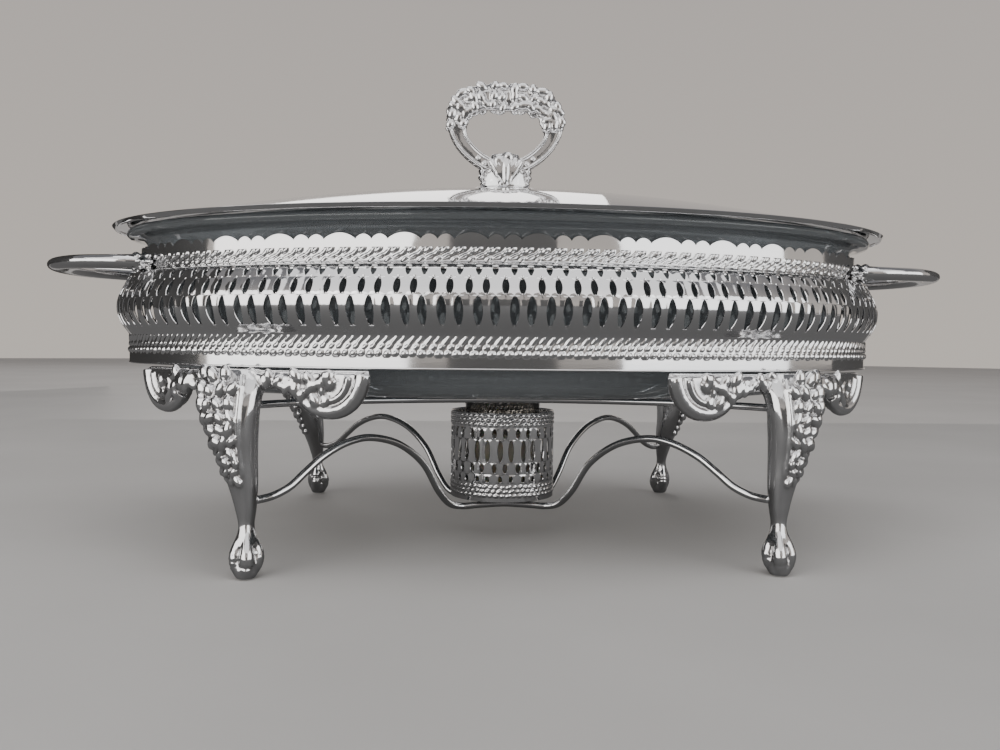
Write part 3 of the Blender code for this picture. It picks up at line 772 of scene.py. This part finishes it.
def build_scroll(skin, side, angle_from, angle_to, rng):
    """The leafy bracket under the band between a shell and the knee."""
    path, radii = [], []
    for share in np.linspace(0, 1, 14):
        angle = angle_from + (angle_to - angle_from) * share
        rise = math.sin(math.pi * share)
        point, _ = oval_place(angle, (1.6 + 0.8 * rise) * MM, (67.7 + 0.9 * rise) * MM, side)
        path.append(point)
        radii.append((4.3 - 0.9 * rise) * MM)
    skin.tube(path, radii, sides=12)
    for k in range(12):
        angle = angle_from + (angle_to - angle_from) * (k + 0.5) / 12
        point, normal = oval_place(angle, rng.uniform(4.8, 5.6) * MM,
                                   rng.uniform(65.4, 71.2) * MM, side)
        a0, a1 = turned_axes((-normal[1], normal[0], 0.0), UP, rng.uniform(0, math.pi))
        grow = rng.uniform(1.5, 2.1) * MM
        skin.blob(point, (a0, normal, a1), (grow * 0.9, grow * 0.65, grow * 1.5))


# ================================================================ lid handle
X_AXIS, Y_AXIS = np.array([1.0, 0.0, 0.0]), np.array([0.0, 1.0, 0.0])

# Left half of the loop, from its foot to its top: (x, z, half thickness, half depth).
HANDLE = [(0.0, 159.8, 3.0, 3.4), (-6.0, 160.8, 3.0, 3.4), (-11.2, 163.2, 3.0, 3.4),
          (-16.5, 167.6, 3.2, 3.5), (-20.3, 173.0, 3.6, 3.6), (-21.6, 180.0, 4.4, 4.0),
          (-19.3, 186.8, 5.2, 4.3), (-11.8, 190.6, 5.8, 4.5), (0.0, 190.8, 6.2, 4.6)]
RELIEF_Z, ARM_Z = 177.0 * MM, 181.0 * MM      # leaves start, raised arm edges end


def build_lid_handle(mat):
    """Cast loop: edge-ribbed smooth lower arms, leaves and blossoms round the top bar."""
    other = [(-row[0], *row[1:]) for row in reversed(HANDLE[1:-1])]
    stations = smooth_path(HANDLE + other, 8, closed=True) * MM
    count = len(stations)
    skin = Skin()
    rings, axes, spots = [], [], []
    for i, (x, z, thick, deep) in enumerate(stations):
        before, after = stations[i - 1], stations[(i + 1) % count]
        along = np.array([after[0] - before[0], 0.0, after[1] - before[1]])
        along /= np.linalg.norm(along)
        across = np.array([along[2], 0.0, -along[0]])
        axes.append((along, across))
        spots.append(np.array([x, 0.0, z]))
        rings.append(soft_ring(spots[i], across * thick * 0.92, Y_AXIS * deep * 0.92, 24,
                               pinch=0.12 / 0.92))
    skin.loft(rings, closed=True)
    rng = np.random.default_rng(11)
    arms = [i % count for i in range(count // 2, count // 2 + count)
            if stations[i % count][1] < ARM_Z]
    for face in (-1, 1):
        for edge in (-0.78, 0.78):
            path = [spots[i] + Y_AXIS * face * stations[i][3] * 0.72
                    + axes[i][1] * stations[i][2] * edge for i in arms]
            skin.tube(path, 0.75 * MM, up=Y_AXIS, sides=8)
        for i in range(0, count, 3):
            _, z, thick, deep = stations[i]
            if z < RELIEF_Z:
                continue
            along, across = axes[i]
            for reach in (-0.62, 0.05, 0.70):
                reach += rng.uniform(-0.12, 0.12)
                grow = rng.uniform(1.9, 2.5) * MM
                a0, a1 = turned_axes(along, across, rng.uniform(0, math.pi))
                centre = spots[i] + across * thick * reach + along * rng.uniform(-1, 1) * MM
                skin.blob(centre + Y_AXIS * face * deep * 0.82, (a0, Y_AXIS, a1),
                          (grow * 0.85, grow * 0.50, grow * rng.uniform(1.0, 1.4)))
    middle = UP * RELIEF_Z
    for i in range(0, count, 3):
        along, across = axes[i]
        outward = 1.0 if np.dot(across, spots[i] - middle) > 0 else -1.0
        grow = (1.5 if spots[i][2] > 178 * MM else 0.9) * rng.uniform(0.85, 1.15) * MM
        skin.blob(spots[i] + across * outward * (stations[i][2] - 0.5 * grow),
                  (along, Y_AXIS, across), (grow * 1.1, grow * 1.5, grow * 0.75))
    build_stem(skin, rng)
    handle = skin.build("lid_loop_handle")
    fuse_casting(handle, 0.30 * MM, 0.50, 5)
    finish_piece(handle, "lid", mat, "cast_chrome", "lid_handle")


def build_stem(skin, rng):
    """Short broad stem: a shell leaf on each face between two stacks of curls."""
    levels = [(0.0, 9.6, 5.2), (1.0, 10.4, 5.4), (3.5, 10.2, 5.1), (6.5, 9.6, 4.9), (9.0, 8.0, 4.7),
              (12.0, 7.0, 4.4), (15.0, 6.2, 3.6)]
    skin.loft([oval_ring(a * MM, b * MM, STEM_LOW_Z + z * MM, 32) for z, a, b in levels])

    def spot(x, y, z):
        return np.array([x * MM, y * MM, STEM_LOW_Z + z * MM])

    for sign in (-1, 1):
        for z, x, size in ((1.9, 9.6, 1.7), (4.6, 10.4, 1.8), (7.4, 10.2, 1.9), (10.6, 9.4, 1.8),
                           (13.0, 12.2, 1.5)):
            skin.blob(spot(sign * x, 0.0, z), (X_AXIS, Y_AXIS, UP),
                      (size * MM, 3.4 * MM, size * 0.85 * MM), segments=14)
        for face in (-1, 1):
            for lean in (0.176, 0.363, 0.55):
                path = [spot(sign * 13.5 * share * math.sin(lean), face * (4.8 - 0.9 * share),
                             1.0 + 13.5 * share * math.cos(lean) * 0.95)
                        for share in np.linspace(0, 1, 7)]
                skin.tube(path, np.array([0.7, 1.1, 1.4, 1.6, 1.7, 1.6, 1.1]) * MM, up=Y_AXIS)
    for face in (-1, 1):
        for k in range(9):
            z = 1.5 + 1.5 * k
            reach = rng.uniform(-1.0, 1.0) * (2.0 + 0.4 * k)
            grow = rng.uniform(1.6, 2.3) * MM
            skin.blob(spot(reach, face * (5.3 - 0.05 * z), z), (X_AXIS, Y_AXIS, UP),
                      (grow, grow * 0.5, grow * 0.9))
        path = [spot(0.0, face * (5.0 - 0.05 * k * k), 1.0 + 2.4 * k) for k in range(7)]
        skin.tube(path, np.array([0.9, 1.4, 1.7, 1.9, 1.9, 1.7, 1.1]) * MM, up=Y_AXIS)


def build_rosette(mat):
    """Flat oval of ten radiating leaves under the stem."""
    base = corner_low("lid_rosette").z
    half_long, half_wide, leaves, steps = 21.0 * MM, 10.8 * MM, 10, 96
    hole_r, thick = 2.3 * MM, 1.75 * MM
    frill = 1.0 + 0.07 * np.cos(np.arange(steps) / steps * math.tau * leaves)
    rings = []
    for share, z in ((0.985, 0.0), (1.0, 0.35), (0.93, 0.9), (0.72, 1.25), (0.5, 1.7), (0.30, 1.75)):
        rings.append(oval_ring(half_long * share * frill, half_wide * share * frill,
                               base + z * MM, steps))
    rings += [oval_ring(hole_r, hole_r, base + thick, steps), oval_ring(hole_r, hole_r, base, steps)]
    skin = Skin()
    skin.loft(rings, closed=True)
    for turn in np.arange(leaves) / leaves * math.tau:
        path = [(half_long * math.cos(turn) * r, half_wide * math.sin(turn) * r,
                 base + (1.7 - 1.1 * r * r) * MM) for r in (0.45, 0.65, 0.82, 0.94)]
        skin.tube(path, np.array([0.5, 0.9, 0.7, 0.3]) * MM, sides=8)
    finish_piece(skin.build("lid_leaf_plate", sharp=50), "lid", mat, "cast_chrome", "lid_rosette")


# ================================================================ side handles
def neck_place(sign, y):
    """The point of the neck at y on the right (1) or left (-1), and its outward normal."""
    a, b = BULGE_A - NECK_IN, BULGE_B - NECK_IN
    point = np.array([sign * a * math.sqrt(1 - (y / b) ** 2), y, SIDE_HANDLE_Z])
    normal = np.array([point[0] / a ** 2, point[1] / b ** 2, 0.0])
    return point, normal / np.linalg.norm(normal)


def build_side_handle(name, node, sign, mat):
    """Smooth cast bar bowed out from two leaf brackets."""
    root, normal = neck_place(sign, -SIDE_ROOT_Y)
    half = [(*(root + normal * 1.2 * MM), 5.0 * MM, 3.3 * MM),
            (*(root + normal * 6.0 * MM), 4.5 * MM, 3.1 * MM)]
    half += [(sign * x * MM, y * MM, SIDE_HANDLE_Z, wide * MM, high * MM)
             for x, y, wide, high in ((158.5, -39.2, 4.4, 2.8), (170.0, -36.5, 4.7, 2.7),
                                      (180.0, -27.8, 4.8, 2.6), (186.4, -14.2, 5.0, 2.6),
                                      (188.4, 0.0, 5.0, 2.6))]
    other = [(x, -y, *rest) for x, y, *rest in reversed(half[:-1])]
    stations = smooth_path(half + other, 8)
    skin = Skin()
    rings = []
    for i, (*point, wide, high) in enumerate(stations):
        along = stations[min(i + 1, len(stations) - 1)][:3] - stations[max(i - 1, 0)][:3]
        across = np.cross(along / np.linalg.norm(along), UP)
        rings.append(soft_ring(point, across * wide, UP * high, 24))
    skin.loft(rings)
    for mirror in (np.array([1.0, 1.0, 1.0]), np.array([1.0, -1.0, 1.0])):
        out, spot = normal * mirror, root * mirror
        tangent = np.array([-out[1], out[0], 0.0])
        for turn in np.arange(8) / 8 * math.tau:
            reach, climb = tangent * math.cos(turn), UP * math.sin(turn)
            path = [spot + (out * (3.0 - 0.5 * step) + reach * (2.2 + 1.6 * step)
                            + climb * (1.6 + 0.75 * step)) * MM for step in range(4)]
            skin.tube(path, np.array([1.0, 1.4, 1.3, 0.7]) * MM, up=out, sides=8)
            skin.blob(spot + (out * 5.2 + reach * 4.7 + climb * 3.1) * MM, (out, tangent, UP),
                      (1.5 * MM, 1.2 * MM, 1.0 * MM))
    handle = skin.build(name)
    fuse_casting(handle, 0.36 * MM, 0.45)
    finish_piece(handle, "frame", mat, "cast_chrome", node)


# ================================================================ wires and small pieces
# Left half of the front burner wire, from the leg to the middle, millimetres.
BURNER_WIRE = [(-87.0, -78.5, 27.0), (-81.5, -74.0, 29.7), (-76.5, -69.3, 34.5),
               (-70.5, -63.8, 39.8), (-62.8, -56.3, 43.8), (-54.5, -48.5, 44.8),
               (-44.0, -38.3, 41.0), (-34.8, -29.4, 32.2), (-28.5, -23.5, 20.0),
               (-23.6, -18.3, 13.4), (-18.0, -15.2, 11.7), (-11.0, -15.0, 12.2),
               (0.0, -15.0, 12.8)]


def build_wire(name, node, points, start_z, front, radius, mat):
    """A wire between two legs. points are its left half after the end inside the leg."""
    side = (-1, front)
    along, out, wide, deep = leg_at(start_z)
    origin, normal = oval_place(LEG_ANGLE, 0.0, start_z, side)
    tangent, _ = oval_axes(LEG_ANGLE, side)
    start = origin + tangent * (along + 0.62 * wide) + normal * (out - 0.62 * deep)
    half = [tuple(start)] + [(x * MM, y * MM * front, z * MM) for x, y, z in points]
    other = [(-x, y, z) for x, y, z in reversed(half[:-1])]
    skin = Skin()
    skin.tube(smooth_path(half + other, 8), radius, up=(0, front, 0.3), sides=16)
    finish_piece(skin.build(name), "frame", mat, "chrome_wire", node)


def build_wires(mat):
    rail_z = (corner_low("dish_rail_front").z + corner_high("dish_rail_front").z) / 2
    rail = [(-76.0, -64.0, rail_z / MM), (-45.0, -48.0, rail_z / MM), (0.0, -40.0, rail_z / MM)]
    for end, front in (("front", 1), ("back", -1)):
        build_wire(f"dish_support_wire_{end}", f"dish_rail_{end}", rail, rail_z, front,
                   1.4 * MM, mat)
        build_wire(f"burner_carrier_wire_{end}", f"burner_wire_{end}", BURNER_WIRE, 26.5 * MM,
                   front, 1.45 * MM, mat)


def turned(name, profile, steps, sharp=40, closed=False):
    """A solid of revolution from (radius, z) points."""
    skin = Skin()
    skin.loft([oval_ring(r, r, z, steps) for r, z in profile], closed=closed)
    return skin.build(name, sharp=sharp)


def screw_shape(name, head_r, shank_r, head_high, length):
    """A round-headed screw along Z, its seat at z = 0 and its head above, with a slot."""
    pitch, chamfer = 0.5 * MM, 0.6 * MM
    profile = [(0.3 * shank_r, -length), (shank_r, -length + chamfer)]
    for k in range(int((length - 2 * chamfer) / pitch)):
        z = -length + chamfer + k * pitch
        profile += [(shank_r * 0.86, z + 0.12 * MM), (shank_r, z + 0.37 * MM)]
    profile += [(shank_r * 0.9, 0.0), (head_r, 0.0), (head_r, 0.25 * head_high),
                (head_r * 0.85, 0.72 * head_high), (head_r * 0.5, 0.96 * head_high),
                (head_r * 0.1, head_high)]
    screw = turned(name, profile, 28)
    slot = bpy.data.objects.new("slot_cutter", bpy.data.meshes.new("slot_cutter"))
    bm = bmesh.new()
    bmesh.ops.create_cube(bm, size=1.0)
    bmesh.ops.scale(bm, verts=bm.verts, vec=(head_r * 2.2, head_r * 0.28, head_high))
    bmesh.ops.translate(bm, verts=bm.verts, vec=(0, 0, head_high * 1.05))
    bm.to_mesh(slot.data)
    bm.free()
    bpy.context.scene.collection.objects.link(slot)
    cut = screw.modifiers.new("slot", "BOOLEAN")
    cut.object = slot
    cut.operation = "DIFFERENCE"
    apply_modifiers(screw)
    screw.data.set_sharp_from_angle(angle=math.radians(35))
    bpy.data.objects.remove(slot)
    return screw


def build_lid_fixing(mat):
    low, high = corner_low("lid_washer").z, corner_high("lid_washer").z
    screw = screw_shape("lid_fixing_screw", 4.0 * MM, 1.5 * MM, 2.1 * MM, 11.0 * MM)
    upside_down = Matrix.Rotation(math.pi, 4, "X")
    screw.data.transform(Matrix.Translation((0, 0, low - 0.3 * MM)) @ upside_down)
    finish_piece(screw, "lid", mat, "plain_steel", "lid_screw")
    hole_r, edge, edge_r, soft = 2.2 * MM, 6.0 * MM, 5.8 * MM, 0.15 * MM
    washer = turned("lid_fixing_washer", [(hole_r, low), (edge_r, low), (edge, low + soft),
                                          (edge, high - soft), (edge_r, high), (hole_r, high)],
                    48, closed=True)
    finish_piece(washer, "lid", mat, "plain_steel", "lid_washer")


def build_fixings(mat):
    """Screws of the lid, the legs and the side handles."""
    build_lid_fixing(mat)
    for end, front in (("front", 1), ("back", -1)):
        for hand, right in (("left", -1), ("right", 1)):
            node = f"leg_screw_{end}_{hand}"
            low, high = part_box(node)
            screw = screw_shape(f"leg_fixing_{end}_{hand}", (high.x - low.x) / 2, 1.1 * MM,
                                1.3 * MM, 6.6 * MM)
            middle = (low + high) / 2
            seat = (middle.x, middle.y, BAND_LOW_Z + (SHEET + 0.2) * MM)
            spin = Matrix.Rotation(0.7 * right + 0.4 * front, 4, "Z")
            screw.data.transform(Matrix.Translation(seat) @ spin)
            finish_piece(screw, "frame", mat, "plain_steel", node)
    for hand, sign in (("left", -1), ("right", 1)):
        for end, front in (("front", 1), ("back", -1)):
            spot, out = (Vector(v) for v in neck_place(sign, -SIDE_ROOT_Y * front))
            screw = screw_shape(f"handle_fixing_{hand}_{end}", 2.2 * MM, 1.1 * MM, 1.2 * MM,
                                6.4 * MM)
            turn = (-out).to_track_quat("Z", "Y").to_matrix().to_4x4()
            screw.data.transform(Matrix.Translation(spot - out * 1.2 * MM) @ turn)
            finish_piece(screw, "frame", mat, "plain_steel", f"handle_{hand}_screw_{end}")


def build_cup_floor(mat):
    """Thin disc with a shallow raised middle."""
    low, edge = corner_low("burner_floor").z, corner_high("burner_floor").x
    profile = [(0.5, 0.5), (8.0, 0.5), (9.0, 0.1), (edge / MM, 0.0), (edge / MM, 0.7), (9.0, 0.75),
               (8.0, 1.0), (0.5, 1.0)]
    floor = turned("burner_cup_floor", [(r * MM, low + z * MM) for r, z in profile], 64)
    finish_piece(floor, "frame", mat, "plain_steel", "burner_floor")


def build_candle(glass_mat, wax_mat, wick_mat):
    low, top = corner_low("burner_glass").z / MM, corner_high("burner_glass").z / MM
    outer = [(4.0, low + 0.8), (13.6, low + 0.6), (14.4, low), (14.9, low + 0.3), (15.2, low + 1.6),
             (15.4, 30), (15.6, 44), (16.3, 52), (17.1, top - 0.5), (17.0, top)]
    inner = [(16.0, top - 0.1), (15.5, top - 0.8), (14.8, 52), (14.1, 44), (13.9, 30),
             (13.6, low + 4.0), (12.6, low + 3.1), (4.0, low + 3.0)]
    holder = turned("candle_glass_holder", [(r * MM, z * MM) for r, z in outer + inner], 72)
    finish_piece(holder, "burner_insert", glass_mat, "candle_glass", "burner_glass")
    low, high = corner_low("candle_wax").z / MM, corner_high("candle_wax").z / MM
    edge = corner_high("candle_wax").x / MM
    profile = [(2.0, low), (edge - 1.0, low), (edge - 0.2, low + 1.2), (edge, high - 0.4),
               (edge - 0.6, high), (edge - 2.0, high - 0.7), (6.0, high - 1.3), (2.6, high - 1.7),
               (0.9, high - 1.9)]
    candle = turned("candle_wax_fill", [(r * MM, z * MM) for r, z in profile], 56)
    finish_piece(candle, "burner_insert", wax_mat, "candle_wax", "candle_wax")
    low, high = corner_low("candle_wick").z, corner_high("candle_wick").z
    rise = high - low
    path = [(0, 0, low - 1.0 * MM), (0, 0, low + 0.35 * rise), (0.15 * MM, 0, low + 0.7 * rise),
            (0.5 * MM, 0.1 * MM, low + 0.93 * rise), (0.8 * MM, 0.15 * MM, high)]
    skin = Skin()
    skin.tube(smooth_path(path, 5), np.linspace(0.65, 0.5, 21) * MM, up=Y_AXIS, sides=12)
    cord = skin.build("candle_cotton_wick")
    finish_piece(cord, "burner_insert", wick_mat, "candle_wick", "candle_wick")


# ================================================================ studio
def build_camera():
    """The viewpoint: close, almost level, a little left of the middle."""
    focal, sensor = 0.8836, 36.0
    distance, height, shift_x = 0.3964, 0.0818, -0.0013
    turn, pitch, roll = 0.0634, 0.0348, 0.0106
    spin = Matrix.Rotation(-turn, 3, "Z")
    forward = Vector((0.0, math.cos(pitch), -math.sin(pitch)))
    up = Vector((0.0, math.sin(pitch), math.cos(pitch)))
    right = Vector((1.0, 0.0, 0.0))
    rolled_right = right * math.cos(roll) + up * math.sin(roll)
    rolled_up = up * math.cos(roll) - right * math.sin(roll)
    basis = spin @ Matrix((rolled_right, rolled_up, -forward)).transposed()
    data = bpy.data.cameras.new("photo_view")
    data.sensor_width = sensor
    data.lens = focal * sensor
    data.clip_start = 0.01
    camera = bpy.data.objects.new("photo_view", data)
    bpy.context.scene.collection.objects.link(camera)
    place = spin @ Vector((shift_x, -distance, height))
    camera.matrix_world = Matrix.Translation(place) @ basis.to_4x4()
    bpy.context.scene.camera = camera


def soft_box(name, place, target, size, power, colour):
    data = bpy.data.lights.new(name, "AREA")
    data.shape = "RECTANGLE"
    data.size, data.size_y = size
    data.energy = power
    data.color = colour
    light = bpy.data.objects.new(name, data)
    bpy.context.scene.collection.objects.link(light)
    light.location = place
    light.rotation_mode = "QUATERNION"
    light.rotation_quaternion = (Vector(target) - Vector(place)).to_track_quat("-Z", "Y")
    light.visible_camera = False


def card(name, place, normal, size, shade):
    """A flat dark board that only shows in reflections."""
    half_x, half_y = size[0] / 2, size[1] / 2
    obj = make_object(name, [(-half_x, -half_y, 0), (half_x, -half_y, 0), (half_x, half_y, 0),
                             (-half_x, half_y, 0)], [(0, 1, 2, 3)])
    mat, _ = shader_of(name, (shade, shade, shade), 0.9, 0.0)
    obj.data.materials.append(mat)
    obj.location = place
    obj.rotation_mode = "QUATERNION"
    obj.rotation_quaternion = Vector(normal).to_track_quat("Z", "Y")
    obj.visible_camera = False
    obj.visible_shadow = False
    obj.visible_diffuse = False


def build_sky():
    """Soft light all round, a little darker overhead."""
    world = bpy.data.worlds.new("studio")
    bpy.context.scene.world = world
    world.use_nodes = True
    tree = world.node_tree
    coords = tree.nodes.new("ShaderNodeTexCoord")
    split = tree.nodes.new("ShaderNodeSeparateXYZ")
    tree.links.new(coords.outputs["Generated"], split.inputs["Vector"])
    shade = tree.nodes.new("ShaderNodeValToRGB")
    stops = shade.color_ramp.elements
    stops[0].position, stops[0].color = 0.0, (0.60, 0.55, 0.50, 1)
    stops[1].position, stops[1].color = 0.35, (0.52, 0.48, 0.45, 1)
    stops.new(0.75).color = (0.20, 0.20, 0.21, 1)
    tree.links.new(split.outputs["Z"], shade.inputs["Fac"])
    tree.links.new(shade.outputs["Color"], tree.nodes["Background"].inputs["Color"])


def build_studio():
    floor = make_object("studio_floor", oval_ring(4.0, 4.0, 0.0, 96), [tuple(range(96))])
    mat, shader = shader_of("studio_floor", (0.56, 0.55, 0.54), 0.5, 0.0)
    ramp(mat, noise(mat, 6.0, 5.0), [(0.3, (0.53, 0.52, 0.51)), (0.7, (0.59, 0.58, 0.57))],
         shader.inputs["Base Color"])
    floor.data.materials.append(mat)
    build_sky()
    warm, cool, plain = (1.0, 0.99, 0.97), (0.97, 0.99, 1.0), (1.0, 0.99, 0.98)
    soft_box("left_window", (-0.95, -0.90, 0.38), (0, 0, 0.20), (1.4, 0.8), 8.0, warm)
    soft_box("right_window", (1.05, -0.90, 0.38), (0, 0, 0.20), (1.2, 0.8), 6.0, cool)
    soft_box("top_box", (0.0, -0.25, 1.5), (0, 0, 0.1), (1.3, 0.7), 5.0, plain)
    soft_box("front_high_box", (0.0, -0.90, 1.10), (0, 0, 0.1), (2.4, 0.95), 8.0, plain)
    soft_box("rim_box", (-0.3, 2.3, 1.5), (0, 0, 0.12), (1.8, 1.0), 12.0, (1.0, 0.98, 0.96))
    card("dark_card_front", (0.02, -1.5, 0.22), (0, 1, 0), (0.62, 0.44), 0.14)
    card("dark_card_left", (-1.0, 0.45, 0.50), (1, -0.5, 0), (1.7, 1.1), 0.05)
    card("dark_card_right", (1.2, 0.55, 0.45), (-1, -0.4, 0), (1.0, 0.9), 0.10)
    card("dark_card_low", (0.0, -0.46, 0.0005), (0, 0, 1), (2.4, 2.00), 0.13)


def build_all():
    build_camera()
    build_studio()
    sheet = chrome_sheet("chrome_sheet")
    cast = cast_chrome("cast_chrome")
    steel = plain_steel("plain_steel")
    build_gallery(sheet)
    build_burner_cup(sheet)
    build_lid(chrome_sheet("chrome_lid", wave=0.00004, rough=(0.03, 0.09)))
    build_dish(glass("dish_glass", (0.50, 0.54, 0.57), 0.80))
    for end, front in (("front", 1), ("back", -1)):
        for hand, right in (("left", -1), ("right", 1)):
            build_leg(f"cast_leg_{end}_{hand}", f"leg_{end}_{hand}", (right, front), cast)
    build_lid_handle(cast)
    build_rosette(cast)
    build_side_handle("cast_side_handle_left", "handle_left", -1, cast)
    build_side_handle("cast_side_handle_right", "handle_right", 1, cast)
    build_wires(chrome_sheet("chrome_wire", wave=0.00003))
    build_fixings(steel)
    build_cup_floor(steel)
    build_candle(glass("candle_glass", (0.95, 0.93, 0.90)), wax("candle_wax"), wick("candle_wick"))


build_all()
